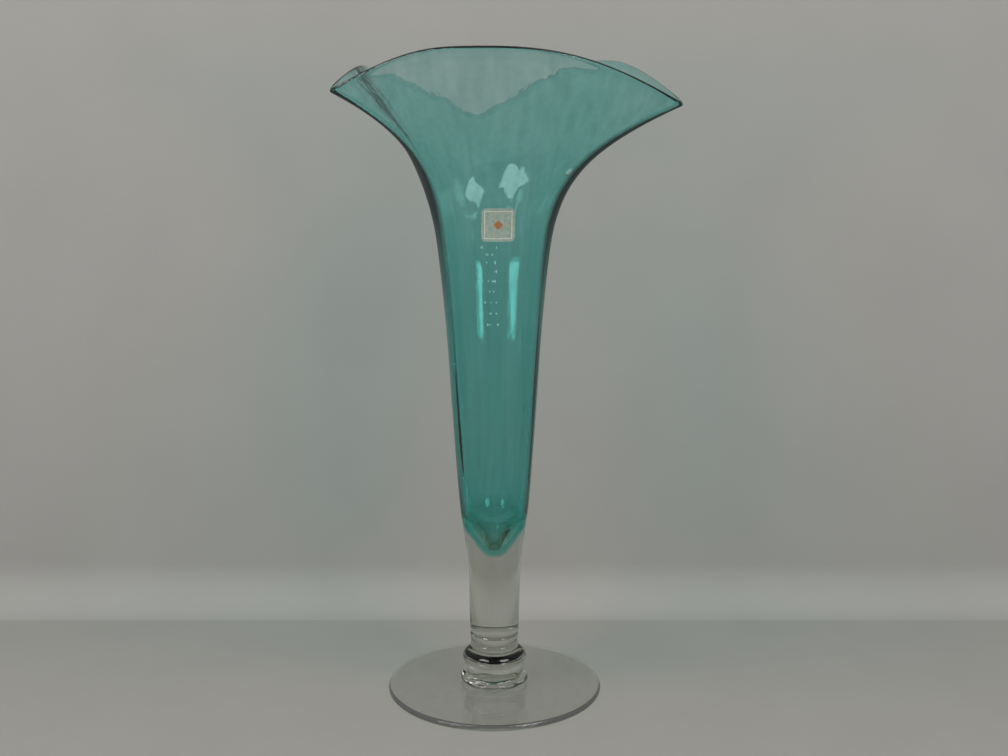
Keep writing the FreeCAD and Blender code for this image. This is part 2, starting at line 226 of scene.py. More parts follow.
@dataclass(frozen=True)
class Glass:
    """Hand-worked glass, tinted through its depth.

    The takes are the shares of red, green and blue light that density takes from a metre.
    """

    name: str
    density: float
    takes: Colour
    cord_pale: Colour
    cord_deep: Colour
    cord_scale: float
    cord_stretch: Colour
    ripple: float
    ior: float = 1.5
    bloom: float = 0.012
    haze_scale: float = 38.0
    wave_scale: float = 90.0
    wave_stretch: Colour = (1.0, 1.0, 0.22)
    wave_share: float = 0.4
    ripple_distance: float = 0.0004
    cord_from: float = 0.32
    cord_to: float = 0.62
    # Painted shade: from edge_from to edge_from + edge_span of the facing, a dark rough shader replaces the skin,
    # painting dark outlines
    edge_from: float = 0.44
    edge_span: float = 0.16
    edge_shade_colour: Colour = (0.004, 0.02, 0.022)
    edge_roughness: float = 0.5
    deep_colour: Colour = (0.5, 0.72, 0.71)
    lamp_tint: Colour = (0.97, 0.985, 0.98)
    # The pale rough shader, which paints glints on the bubbles and makes the foot's outer edge pale
    frost_and_glint_colour: Colour = (0.95, 0.97, 0.96)
    frost_and_glint_roughness: float = 0.35

    def make(self) -> bpy.types.Material:
        """Build the material."""
        material = bpy.data.materials.new(self.name)
        board = Board(material)
        place = board.add("ShaderNodeTexCoord").other("Object")
        cords = board.noise(place, self.cord_scale, 3.0, self.cord_stretch)
        haze = board.noise(place, self.haze_scale, 2.0)
        waves = board.noise(place, self.wave_scale, 1.0, self.wave_stretch)
        heights = cords * (1 - self.wave_share) + waves * self.wave_share
        streaks = cords.ramp((self.cord_from, self.cord_deep), (self.cord_to, self.cord_pale))
        skin = board.principled(
            Base_Color=board.mix(board.mark(DEPTH_OF_TINT), streaks, self.deep_colour),
            Roughness=haze * self.bloom,
            IOR=self.ior,
            Transmission_Weight=1.0,
            Normal=board.bump(self.ripple, self.ripple_distance, heights),
        )
        # Painted shade: where the skin is seen at a grazing angle, a dark rough shader (rim) takes its place on
        # faces with the edge mark, painting dark outlines
        facing = board.add("ShaderNodeLayerWeight", None, {"Blend": 0.5}).other("Facing")
        grazing = board.add("ShaderNodeClamp", None, {0: (facing - self.edge_from) * (1 / self.edge_span)})
        rim = board.principled(Base_Color=self.edge_shade_colour, Roughness=self.edge_roughness)
        # A pale rough shader replaces the glass where a face is marked: painted glints on the bubbles, and the
        # foot's pale outer edge
        frost_and_glint = board.principled(Base_Color=self.frost_and_glint_colour, Roughness=self.frost_and_glint_roughness)
        skin_and_edge_shade = board.choose(grazing * board.mark(PAINTED_EDGE_SHADE), skin, rim)
        seen = board.choose(board.mark(FROST_AND_GLINT), skin_and_edge_shade, frost_and_glint)
        path = board.add("ShaderNodeLightPath").other("Is Shadow Ray")
        lit = board.choose(path | path.other("Is Diffuse Ray"), seen, board.see_through(self.lamp_tint))
        surface = board.choose(board.mark(FUSED), lit, board.see_through())
        colour = tuple(1.0 - take for take in self.takes)
        depth = board.add("ShaderNodeVolumeAbsorption", None, {"Color": colour, "Density": self.density})
        board.finish(surface, Volume=depth)
        return material


@dataclass(frozen=True)
class LabelFilm:
    """A thin pearly film with a fine border and a small lozenge."""

    paper: Colour = (0.66, 0.66, 0.56)
    paper_worn: Colour = (0.5, 0.53, 0.46)
    ink: Colour = (0.55, 0.22, 0.07)
    line: Colour = (0.8, 0.8, 0.74)
    border_place: float = 0.405
    border_half_width: float = 0.013
    lozenge_reach: float = 0.15
    wear_scale: float = 9.0
    roughness: float = 0.28
    clearest: float = 0.34
    printed: float = 0.3
    wear_range: float = 0.2

    def make(self) -> bpy.types.Material:
        """Build the material."""
        material = bpy.data.materials.new("label_film")
        board = Board(material)
        place = board.add("ShaderNodeTexCoord").other("UV")
        across = board.add("ShaderNodeSeparateXYZ", None, {0: place})
        right, up = (across - 0.5).size(), (across.other("Y") - 0.5).size()
        border = ((right | up) - self.border_place).size().below(self.border_half_width)
        lozenge = (right + up).below(self.lozenge_reach)
        wear = board.noise(place, self.wear_scale, 4.0)
        base = wear.ramp((0.35, self.paper_worn), (0.65, self.paper))
        film = board.principled(
            Base_Color=board.mix(lozenge, board.mix(border, base, self.line), self.ink),
            Roughness=wear * self.wear_range + self.roughness,
            Alpha=(border | lozenge) * self.printed + (wear * self.wear_range + self.clearest),
            Normal=board.bump(0.25, 0.0001, wear),
        )
        board.finish(film)
        return material


@dataclass(frozen=True)
class StageFinish:
    """Matt studio paper, which can't be seen from behind."""

    name: str
    colour: Colour
    grain_scale: float = 14.0
    darkest: float = 0.96
    roughness: float = 0.9
    specular: float = 0.15

    def make(self) -> bpy.types.Material:
        """Build the material."""
        material = bpy.data.materials.new(self.name)
        board = Board(material)
        grain = board.noise(board.add("ShaderNodeTexCoord").other("Object"), self.grain_scale, 5.0)
        darker = tuple(part * self.darkest for part in self.colour)
        paper = board.principled(
            Base_Color=grain.ramp((0.3, darker), (0.7, self.colour)),
            Roughness=self.roughness,
            Specular_IOR_Level=self.specular,
        )
        behind = board.add("ShaderNodeNewGeometry").other("Backfacing")
        board.finish(board.choose(behind, paper, board.see_through()))
        return material


TEAL_GLASS = Glass(
    name="teal_glass",
    density=140.0,
    takes=(1.0, 0.16, 0.195),
    cord_pale=(1.0, 1.0, 1.0),
    cord_deep=(0.8, 0.88, 0.88),
    cord_scale=170.0,
    cord_stretch=(1.0, 1.0, 0.05),
    ripple=0.45,
)
CLEAR_GLASS = Glass(
    name="clear_glass",
    density=9.0,
    takes=(0.5, 0.42, 0.6),
    cord_pale=(0.84, 0.84, 0.82),
    cord_deep=(0.78, 0.785, 0.765),
    cord_scale=150.0,
    cord_stretch=(1.0, 1.0, 0.08),
    ripple=0.3,
)


def grid_faces(rows: int, columns: int) -> list[tuple[int, int, int, int]]:
    """Quads of a grid that closes round its columns.

    Args:
        rows: Rings of vertices.
        columns: Vertices in each ring.

    Returns:
        The vertex numbers of each quad, facing out where the rings rise anticlockwise.
    """
    faces = []
    for row in range(rows - 1):
        low, high = row * columns, (row + 1) * columns
        for column in range(columns):
            after = (column + 1) % columns
            faces.append((low + column, low + after, high + after, high + column))
    return faces


def grid_normals(points: np.ndarray) -> np.ndarray:
    """Unit normals of a grid of points that closes round its columns.

    Args:
        points: Places, as rings by columns by three.

    Returns:
        Normals of the same form, facing out where the rings rise anticlockwise.
    """
    around = np.roll(points, -1, axis=1) - np.roll(points, 1, axis=1)
    along = np.gradient(points, axis=0)
    normals = np.cross(around, along)
    return normals / np.maximum(np.linalg.norm(normals, axis=2, keepdims=True), TINY)


def ring_points(radii: np.ndarray, heights: np.ndarray, turns: np.ndarray) -> np.ndarray:
    """Places round the axis.

    Args:
        radii: Distances from the axis, as rings by columns or by one.
        heights: Heights, in the same form.
        turns: Directions in radians, one for each column.

    Returns:
        The places, as rings by columns by three.
    """
    across = radii * np.cos(turns)
    return np.stack([across, radii * np.sin(turns), np.broadcast_to(heights, across.shape)], axis=2)


def closed_grid(points: np.ndarray, ends: tuple[float, float]) -> tuple[list, list]:
    """Close a grid of rings with a point on the axis at each end.

    Args:
        points: Places, as rings by columns by three.
        ends: The height of the first point and of the last.

    Returns:
        The places and the faces, of which the triangles of the two ends come last and by turns.
    """
    rows, columns = points.shape[:2]
    places = points.reshape(-1, 3).tolist() + [[0, 0, height] for height in ends]
    faces = grid_faces(rows, columns)
    first, top = rows * columns, (rows - 1) * columns
    for column in range(columns):
        after = (column + 1) % columns
        faces += [(first, after, column), (first + 1, top + column, top + after)]
    return places, faces


def place_object(name: str, data: bpy.types.ID) -> bpy.types.Object:
    """Make an object from its data and put it in the scene."""
    thing = bpy.data.objects.new(name, data)
    bpy.context.scene.collection.objects.link(thing)
    return thing


def smooth_mesh(name: str, points: list, faces: list, material: bpy.types.Material) -> bpy.types.Mesh:
    """A mesh with one finish and smooth faces, from points in metres."""
    mesh = bpy.data.meshes.new(name)
    mesh.from_pydata(points, [], faces)
    mesh.materials.append(material)
    mesh.polygons.foreach_set("use_smooth", [True] * len(mesh.polygons))
    return mesh


def make_piece(
    name: str,
    points: np.ndarray | list,
    faces: list,
    material: bpy.types.Material,
    marks: dict[str, list[float]] | None = None,
) -> bpy.types.Object:
    """Turn points in millimetres and faces into a smooth piece.

    Args:
        name: The piece's name.
        points: Places, as a flat list of three each.
        faces: Vertex numbers of each face.
        material: Its finish.
        marks: Named shares from 0 to 1 for the first faces. The rest of the faces have 0.

    Returns:
        The new object.
    """
    mesh = smooth_mesh(name, (np.asarray(points, dtype=float) * MM).tolist(), faces, material)
    for mark, shares in (marks or {}).items():
        shares = shares + [0.0] * (len(faces) - len(shares))
        mesh.attributes.new(mark, "FLOAT", "FACE").data.foreach_set("value", shares)
    mesh.set_sharp_from_angle(angle=SMOOTH_ANGLE)
    mesh.update()
    return place_object(name, mesh)


def declare(piece: bpy.types.Object, node: str) -> None:
    """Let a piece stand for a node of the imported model, and report it."""
    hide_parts(node)
    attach(piece, BODY)
    LOG.info("%s stands for %s with %d faces", piece.name, node, len(piece.data.polygons))


@dataclass
class Outline:
    """The side of a turned piece, as radii and heights from the axis outwards and up."""

    step_mm: float = 0.9
    spots: list[tuple[float, float]] = field(default_factory=list)
    melted: list[float] = field(default_factory=list)

    def start(self, radius: float, height: float) -> "Outline":
        """Begin at a place."""
        self.spots.append((radius, height))
        return self

    def add(self, radius: float, height: float, melted: bool = False) -> None:
        """Go on to a place, with a face that may be melted to another piece."""
        self.spots.append((radius, height))
        self.melted.append(float(melted))

    def line(self, radius: float, height: float, melted: bool = False) -> "Outline":
        """Go straight to a place, in short steps."""
        x, z = self.spots[-1]
        count = max(1, round(math.hypot(radius - x, height - z) / self.step_mm))
        for number in range(1, count + 1):
            share = number / count
            self.add(x + (radius - x) * share, z + (height - z) * share, melted)
        return self

    def arc(self, radius: float, height: float, bend: float, count: int = 14) -> "Outline":
        """Go to a place on an arc, which bulges outwards on the way up where its bend is positive."""
        x, z = self.spots[-1]
        across, up = radius - x, height - z
        chord = math.hypot(across, up)
        right = (up / chord, -across / chord)
        reach = math.copysign(math.sqrt(bend**2 - (chord / 2) ** 2), bend)
        centre = ((x + radius) / 2 - right[0] * reach, (z + height) / 2 - right[1] * reach)
        first = math.atan2(z - centre[1], x - centre[0])
        last = math.atan2(height - centre[1], radius - centre[0])
        turn = (last - first + math.pi) % math.tau - math.pi
        for number in range(1, count + 1):
            angle = first + turn * number / count
            self.add(centre[0] + abs(bend) * math.cos(angle), centre[1] + abs(bend) * math.sin(angle))
        return self

    def rounded(self, corner: tuple[float, float], after: tuple[float, float], rounding: float) -> "Outline":
        """Go towards a corner and round it on the way to the next place.

        Args:
            corner: The corner's radius and height.
            after: Where the outline goes next, which sets the rounding's far end.
            rounding: The rounding's radius.

        Returns:
            The outline itself, at the far end of the rounding.
        """
        here, turn, there = Vector(self.spots[-1]), Vector(corner), Vector(after)
        back, on = (here - turn).normalized(), (there - turn).normalized()
        half = math.acos(max(-1.0, min(1.0, back.dot(on)))) / 2
        cut = rounding / math.tan(half)
        begin, end = turn + back * cut, turn + on * cut
        self.line(*begin)
        return self.arc(end.x, end.y, rounding, 9)


@dataclass(frozen=True)
class Dent:
    """A soft mark left by the tools: where it lies, how far it spreads and how far it pushes out."""

    degrees: float
    height: float
    wide: float
    tall: float
    push: float
    slant: float = 0.0

    def depth(self, degrees: np.ndarray, heights: np.ndarray) -> np.ndarray:
        """How far the mark pushes each place out."""
        side = (degrees - self.degrees + 180) % FULL_TURN - 180
        rise = heights - self.height - self.slant * side
        return self.push * np.exp(-((side / self.wide) ** 2) - (rise / self.tall) ** 2)


@dataclass
class Turned:
    """A solid of clear glass, turned about the axis with a slight unevenness of the hand."""

    name: str
    outline: Outline
    seed: int
    sway_mm: float = 0.12
    calm_above_mm: float = 1000.0
    dents: tuple[Dent, ...] = ()
    # Faces beyond this radius take this share of the pale rough shader; of the clear pieces only the foot reaches so
    # far
    edge_frost_from_mm: float = 1000.0
    edge_frost: float = 0.12
    columns: int = 160

    def uneven(self, points: np.ndarray, angles: np.ndarray) -> np.ndarray:
        """Push the skin in and out a little, as hand tools leave it."""
        draw = random.Random(self.seed)
        radii = np.hypot(points[:, :, 0], points[:, :, 1])
        heights = points[:, :, 2]
        sway = np.zeros_like(radii)
        for count, strength in ((2, 1.0), (3, 0.7), (5, 0.35), (9, 0.16)):
            phase = draw.uniform(0, math.tau)
            climb = draw.uniform(-0.06, 0.06)
            sway += strength * np.cos(count * angles[None, :] + phase + climb * heights)
        calm = np.clip((self.calm_above_mm - heights) / 25.0, 0, 1)
        push = self.sway_mm * sway * calm
        for dent in self.dents:
            push += dent.depth(np.degrees(angles)[None, :], heights) * np.clip(radii / 14.0 - 0.3, 0, 1)
        scale = 1 + push / np.maximum(radii, 8.0)
        points[:, :, :2] *= scale[:, :, None]
        return points

    def build(self, material: bpy.types.Material) -> bpy.types.Object:
        """Make the mesh: rings along the outline and a point on the axis at each end."""
        spots, melted = self.outline.spots, self.outline.melted
        turns = np.arange(self.columns) * math.tau / self.columns
        radii, heights = np.array(spots[1:-1]).T[:, :, None]
        points = self.uneven(ring_points(radii, heights, turns), turns)
        places, faces = closed_grid(points, (spots[0][1], spots[-1][1]))
        fused = np.repeat(melted[1:-1], self.columns).tolist() + [melted[0], melted[-1]] * self.columns
        edge_frost = np.where(radii[1:] > self.edge_frost_from_mm, self.edge_frost, 0.0)
        marks = {FUSED: fused, FROST_AND_GLINT: np.repeat(edge_frost, self.columns).tolist()}
        return make_piece(self.name, places, faces, material, marks)


@dataclass
class ClearBase:
    """The clear parts: foot, knop, collar, neck bead and stem, each melted onto the one below."""

    foot_radius: float = 72.5
    foot_edge: float = 4.0
    foot_rounding: float = 1.95
    seat: float = 5.2
    knop_base: float = 21.6
    knop_top: float = 19.0
    knop_height: float = 11.8
    knop_bulge: float = 4.0
    collar_base: float = 18.2
    collar_belly: float = 20.9
    collar_belly_curve: float = 34.0
    collar_belly_height: float = 22.4
    collar_radius: float = 21.6
    collar_rim_height: float = 24.4
    collar_rounding: float = 0.8
    collar_top: float = 17.2
    collar_height: float = 28.2
    collar_dome: float = 7.5
    bead_groove: float = 15.3
    bead_crease: float = 34.5
    bead_height: float = 40.8
    bead_bulge: float = 5.2
    knop_dents: tuple[Dent, ...] = (
        Dent(-118.0, 9.6, 13.0, 1.6, -0.9, 0.03),
        Dent(-88.0, 7.6, 9.0, 1.5, 0.45),
        Dent(-62.0, 9.4, 12.0, 1.8, -0.8, -0.03),
        Dent(-30.0, 8.0, 10.0, 1.6, 0.4),
        Dent(12.0, 9.0, 14.0, 1.9, -0.7),
        Dent(75.0, 8.6, 16.0, 1.8, -0.8, 0.02),
        Dent(140.0, 9.2, 15.0, 1.7, -0.7),
        Dent(-152.0, 8.2, 11.0, 1.6, 0.4),
    )
    collar_dents: tuple[Dent, ...] = (
        Dent(-75.0, 15.5, 26.0, 2.6, -0.45),
        Dent(-140.0, 18.0, 20.0, 2.4, 0.3, 0.03),
        Dent(-15.0, 17.0, 18.0, 2.4, 0.35, -0.03),
        Dent(100.0, 16.0, 30.0, 2.6, -0.4),
    )

    def foot(self) -> Outline:
        """A flat disc with a rounded edge."""
        outline = Outline().start(0, 0)
        outline.rounded((self.foot_radius, 0), (self.foot_radius, self.foot_edge), self.foot_rounding)
        outline.rounded((self.foot_radius, self.foot_edge), (self.knop_base, self.seat), self.foot_rounding)
        return outline.line(self.knop_base, self.seat).line(0, self.seat, melted=True)

    def knop(self) -> Outline:
        """A flattened ball of glass."""
        low = self.seat + MELT_GAP_MM
        outline = Outline().start(0, low).line(self.knop_base, low, melted=True)
        outline.arc(self.knop_top, self.knop_height, self.knop_bulge, 20)
        return outline.line(self.collar_base, self.knop_height).line(0, self.knop_height, melted=True)

    def collar(self) -> Outline:
        """A belly, a proud rim and a dome."""
        low = self.knop_height + MELT_GAP_MM
        outline = Outline().start(0, low).line(self.collar_base, low, melted=True)
        outline.arc(self.collar_belly, self.collar_belly_height, self.collar_belly_curve)
        outline.line(self.collar_radius, self.collar_belly_height)
        rim = (self.collar_radius, self.collar_rim_height)
        outline.rounded(rim, (self.collar_top, self.collar_height), self.collar_rounding)
        outline.arc(self.collar_top, self.collar_height, self.collar_dome)
        return outline.line(self.bead_groove, self.collar_height).line(0, self.collar_height, melted=True)

    def neck_bead(self) -> Outline:
        """Two soft rings, one above the other."""
        low = self.collar_height + MELT_GAP_MM
        outline = Outline().start(0, low).line(self.bead_groove, low, melted=True)
        outline.arc(self.bead_groove, self.bead_crease, self.bead_bulge, 18)
        outline.arc(self.bead_groove, self.bead_height, self.bead_bulge, 18)
        return outline.line(0, self.bead_height, melted=True)

    def build(self, material: bpy.types.Material) -> None:
        """Make and declare every turned piece below the stem."""
        for name, outline, seed, sway, dents, edge_frost_from in (
            ("foot", self.foot(), 11, 0.25, (), self.foot_radius - 1.3),
            ("knop", self.knop(), 23, 0.3, self.knop_dents, self.foot_radius),
            ("collar", self.collar(), 37, 0.16, self.collar_dents, self.foot_radius),
            ("neck_bead", self.neck_bead(), 41, 0.12, (), self.foot_radius),
        ):
            turned = Turned(name + "_glass", outline, seed, sway, dents=dents, edge_frost_from_mm=edge_frost_from)
            piece = turned.build(material)
            declare(piece, name)


@dataclass
class Stem:
    """The solid clear stem, whose top holds the bowl's nose."""

    base_height: float = 40.8
    groove: float = 15.3
    base_radius: float = 16.3
    base_rounding: float = 0.9
    waist_radius: float = 17.3
    waist_height: float = 78.8
    swell_start: tuple[float, float] = (17.55, 94.0)
    swell_end_run: float = 13.0
    swell_steps: int = 60
    dents: tuple[Dent, ...] = (
        Dent(-158.0, 116.5, 13.0, 0.9, 0.34, 0.09),
        Dent(-166.0, 112.6, 12.0, 0.8, 0.3, 0.07),
        Dent(-150.0, 108.4, 10.0, 0.9, 0.28, -0.1),
        Dent(-171.0, 105.0, 8.0, 1.2, 0.26, 0.14),
        Dent(-22.0, 116.0, 12.0, 1.0, 0.34, -0.08),
        Dent(-12.0, 111.0, 10.0, 1.1, 0.3, -0.12),
        Dent(-30.0, 106.5, 8.0, 1.0, 0.22, 0.1),
        Dent(40.0, 114.0, 16.0, 1.0, 0.3, 0.05),
        Dent(105.0, 112.0, 18.0, 1.1, 0.3, -0.05),
        Dent(150.0, 115.5, 12.0, 0.9, 0.3, 0.08),
    )

    def build(
        self, material: bpy.types.Material, nose: list[tuple[float, float]], above: tuple[float, float]
    ) -> None:
        """Args:
            material: Its finish.
            nose: The bowl's outside from its lowest point up to the joint, as radii and heights.
            above: The next place up the bowl's outside, which the stem's skin runs on to.
        """
        low = self.base_height + MELT_GAP_MM
        outline = Outline().start(0, low).line(self.groove, low, melted=True)
        outline.rounded((self.base_radius, low), (self.waist_radius, self.waist_height), self.base_rounding)
        outline.line(self.waist_radius, self.waist_height)
        joint_radius, joint_height = nose[-1]
        slope = Vector((above[0] - joint_radius, above[1] - joint_height)).normalized()
        end = (joint_radius - slope.x * self.swell_end_run, joint_height - slope.y * self.swell_end_run)
        corners = ((self.waist_radius, self.waist_height), self.swell_start, end, (joint_radius, joint_height))
        for number in range(1, self.swell_steps + 1):
            share = number / self.swell_steps
            weights = ((1 - share) ** 3, 3 * share * (1 - share) ** 2, 3 * share**2 * (1 - share), share**3)
            outline.add(*(sum(weight * corner[axis] for weight, corner in zip(weights, corners)) for axis in (0, 1)))
        for radius, height in reversed(nose[:-1]):
            outline.add(radius + MELT_GAP_MM, height - MELT_GAP_MM, melted=True)
        outline.add(0, nose[0][1] - MELT_GAP_MM, melted=True)
        turned = Turned("stem_glass", outline, 53, 0.14, joint_height - 12.0, self.dents)
        piece = turned.build(material)
        declare(piece, "stem")


@dataclass(frozen=True)
class Lobe:
    """A raised part of the lip between two spouts."""

    first: Spout
    second: Spout
    peak_share: float
    fullness: float
    reach: float
    height: float


def spline_weights(count: int, places: np.ndarray) -> np.ndarray:
    """Weights of a clamped uniform cubic spline.

    Args:
        count: How many control rows it has.
        places: Where along it to look, from 0 to count - 3.

    Returns:
        One row of weights for each place.
    """
    spans = count - 3
    knots = np.concatenate([np.zeros(3), np.arange(spans + 1), np.full(3, spans)]).astype(float)
    at = np.clip(places, 0, spans - 1e-9)[:, None]
    weights = ((at >= knots[None, :-1]) & (at < knots[None, 1:])).astype(float)
    for degree in (1, 2, 3):
        low, high = knots[: -degree - 1], knots[degree + 1 :]
        rise = np.maximum(knots[degree:-1] - low, TINY)
        fall = np.maximum(high - knots[1:-degree], TINY)
        rising = (at - low) / rise * (knots[degree:-1] > low)
        falling = (high - at) / fall * (high > knots[1:-degree])
        weights = rising * weights[:, :-1] + falling * weights[:, 1:]
    return weights


@dataclass
class TrumpetBowl:
    """The teal bowl: nose, tube and flare, blown as one wall of glass."""

    tube: tuple[tuple[float, float], ...] = (
        (1.6, 94.8),
        (4.2, 94.8),
        (8.4, 103.4),
        (12.4, 112.2),
        (19.6, 115.5),
        (21.9, 118.5),
        (22.8, 127.5),
        (24.9, 150.0),
        (28.5, 200.0),
        (30.9, 245.0),
        (36.0, 298.0),
    )
    hollow_bottom: tuple[tuple[float, float], ...] = (
        (16.8, 127.5),
        (13.4, 118.5),
        (7.6, 108.1),
        (3.0, 99.6),
        (1.2, 99.6),
    )
    lower_row: int = 7
    tube_wall: float = 5.0
    lip_wall: float = 3.1
    crown: float = 0.45
    keel_start: tuple[float, float] = (5.0, 42.0)
    keel_end: tuple[float, float] = (62.0, 26.0)
    wall_start: tuple[float, float] = (4.0, 45.0)
    wall_end: tuple[float, float] = (20.0, 30.0)
    crease: float = 0.035
    melt: float = 0.5
    spread: float = 1.4
    levels: tuple[float, ...] = (0.16, 0.32, 0.48, 0.62, 0.75, 0.87, 0.95, 1.0)
    spouts: tuple[tuple[Spout, float, float, float], ...] = (
        (Spout.RIGHT, -24.0, 123.0, 387.5),
        (Spout.BACK, 96.0, 118.0, 384.5),
        (Spout.LEFT, 216.0, 116.0, 394.5),
    )
    lobes: tuple[Lobe, ...] = (
        Lobe(Spout.RIGHT, Spout.BACK, 0.5, 2.3, 86.0, 418.5),
        Lobe(Spout.BACK, Spout.LEFT, 0.62, 2.8, 84.0, 412.5),
        Lobe(Spout.LEFT, Spout.RIGHT, 0.38, 3.0, 87.0, 417.5),
    )
    columns_per_lobe: int = 132
    columns_crowding: float = 0.62
    joint_circle_height: float = 122.0
    bead_push: float = 0.3
    bead_place: float = 5.6
    bead_spread: float = 2.6
    slow_waves: tuple[tuple[int, float], ...] = ((2, 0.5), (3, 0.3), (5, 0.2))
    long_cords: tuple[tuple[int, float], ...] = ((4, 1.2), (6, 1.0), (9, 0.9), (14, 0.5), (21, 0.25), (33, 0.1))
    wave_push: float = 0.16
    cord_push: float = 0.1
    dimple_waves: int = 9
    dimple_lengths: tuple[float, float] = (7.0, 12.0)
    dimple_push: float = 0.013
    front_seeds: int = 34
    front_seed_degrees: float = -93.0
    front_seed_heights: tuple[float, float] = (250.0, 309.0)
    stray_seeds: int = 30
    stray_seed_heights: tuple[float, float] = (140.0, 380.0)
    seed_depth: float = 1.9
    seed_half_depth: float = 1.15
    blister: tuple[float, float, float, float] = (-33.0, 348.5, 3.1, 1.05)
    # Share of the pale rough shader on the blister, painting its highlight; the other bubbles take all of it, as
    # painted glints
    blister_glint: float = 0.4
    # How much painted edge shade the outside takes: 0.35 of it on the lower tube, rising to all of it in the flare
    dark_from: float = 215.0
    dark_over: float = 110.0
    least_dark: float = 0.35
    tube_tint: float = 0.26
    tube_tint_top: float = 330.0
    tube_tint_over: float = 90.0
    nose_tint_top: float = 132.0
    nose_tint_over: float = 14.0
    lip_tint: float = 0.3
    lip_tint_run: float = 8.0
    lip_tint_over: float = 2.5

    def __post_init__(self) -> None:
        """Work out the skin's points and normals once."""
        self.degrees, controls = self.control_rows()
        places = self.row_places(controls)
        weights = spline_weights(controls.shape[0], places)
        outline = np.einsum("pr,rcx->pcx", weights, controls)
        turns = np.radians(self.degrees)
        self.outer_rows = int(np.argmax(places >= len(self.tube) + len(self.levels) - 1.5))
        self.points = ring_points(outline[:, :, 0], outline[:, :, 1], turns)
        self.normals = grid_normals(self.points)
        self.blow()
        self.normals = grid_normals(self.points)

    def lobe_columns(self) -> np.ndarray:
        """Shares of a lobe's span, closer together at the keels."""
        even = np.arange(self.columns_per_lobe) / self.columns_per_lobe
        return even - self.columns_crowding * np.sin(math.tau * even) / math.tau

    def follow(self, along: np.ndarray, level: float, fullness: float) -> np.ndarray:
        """How much each place on a lobe still follows the keel."""
        softness = self.crease + self.melt * (1 - level)
        bend = (np.hypot(along, softness) - softness) / (math.hypot(1, softness) - softness)
        return np.maximum(0.0, 1 - bend) ** fullness

    def spine(self, tip: tuple[float, float], start: tuple[float, float], end: tuple[float, float]) -> np.ndarray:
        """Points of a keel or wall at every level, from the throat to its tip."""
        throat = np.array(self.tube[-1])
        corners = (throat, throat + start, np.array(tip) - end, np.array(tip))
        shares = np.array(self.levels)[:, None]
        rest = 1 - shares
        return (
            rest**3 * corners[0]
            + 3 * rest**2 * shares * corners[1]
            + 3 * rest * shares**2 * corners[2]
            + shares**3 * corners[3]
        )

    def control_rows(self) -> tuple[np.ndarray, np.ndarray]:
        """Directions round the axis, and the control rows of the whole skin in each direction."""
        tips = {spout: (degrees, (reach, height)) for spout, degrees, reach, height in self.spouts}
        degrees, flares = [], []
        shares = self.lobe_columns()
        for lobe in self.lobes:
            start = tips[lobe.first][0]
            sector = (tips[lobe.second][0] - start) % FULL_TURN
            wall = self.spine((lobe.reach, lobe.height), self.wall_start, self.wall_end)
            early = shares < lobe.peak_share
            along = np.where(early, shares / lobe.peak_share, (1 - shares) / (1 - lobe.peak_share))
            keels = [
                self.spine(tips[spout][1], self.keel_start, self.keel_end) for spout in (lobe.first, lobe.second)
            ]
            rows = []
            for number, level in enumerate(self.levels):
                keel = np.where(early[:, None], keels[0][number], keels[1][number])
                out = self.follow(along, level, self.spread * (1 + level))
                lift = self.follow(along, level, self.spread + (lobe.fullness - self.spread) * level)
                amount = np.stack([out, lift], axis=1)
                rows.append(wall[number] + (keel - wall[number]) * amount)
            degrees.append(start + shares * sector)
            flares.append(np.stack(rows))
        flare = np.concatenate(flares, axis=1)
        count = flare.shape[1]
        tube = np.repeat(np.array(self.tube)[:, None, :], count, axis=1)
        outer = np.concatenate([tube, flare], axis=0)
        return np.concatenate(degrees), self.add_inside(outer)

    def add_inside(self, outer: np.ndarray) -> np.ndarray:
        """The outside's control rows, followed by those of the lip and the hollow."""
        last = outer.shape[0] - 1
        inner = []
        for row in range(last, self.lower_row - 1, -1):
            along = outer[min(row + 1, last)] - outer[row - 1]
            square = np.stack([-along[:, 1], along[:, 0]], axis=1)
            square /= np.linalg.norm(square, axis=1, keepdims=True)
            thinning = (row - self.lower_row) / (last - self.lower_row)
            inner.append(outer[row] + square * (self.tube_wall + (self.lip_wall - self.tube_wall) * thinning))
        crown = outer[last] - outer[last - 1]
        crown *= self.lip_wall * self.crown / np.linalg.norm(crown, axis=1, keepdims=True)
        bottom = np.repeat(np.array(self.hollow_bottom)[:, None, :], outer.shape[1], axis=1)
        lip = np.stack([outer[last] + crown, inner[0] + crown])
        return np.concatenate([outer, lip, np.stack(inner), bottom], axis=0)

    def row_places(self, controls: np.ndarray) -> np.ndarray:
        """Where along the spline the skin's rings lie, closer together at the lip and both bottoms."""
        spans = controls.shape[0] - 3
        lip = len(self.tube) + len(self.levels) - 1
        places = []
        for span in range(spans):
            if abs(span + 1 - lip) <= 2:
                count = 12
            elif span < 5 or span > spans - 5:
                count = 9
            else:
                count = 7
            places.extend(span + number / count for number in range(count))
        places.append(float(spans))
        dense = np.linspace(0, 8, 2001)
        heights = spline_weights(controls.shape[0], dense) @ controls[:, 0, 1]
        joint = float(np.interp(self.joint_circle_height, heights, dense))
        places = [place for place in places if abs(place - joint) > 0.05] + [joint]
        return np.array(sorted(places))

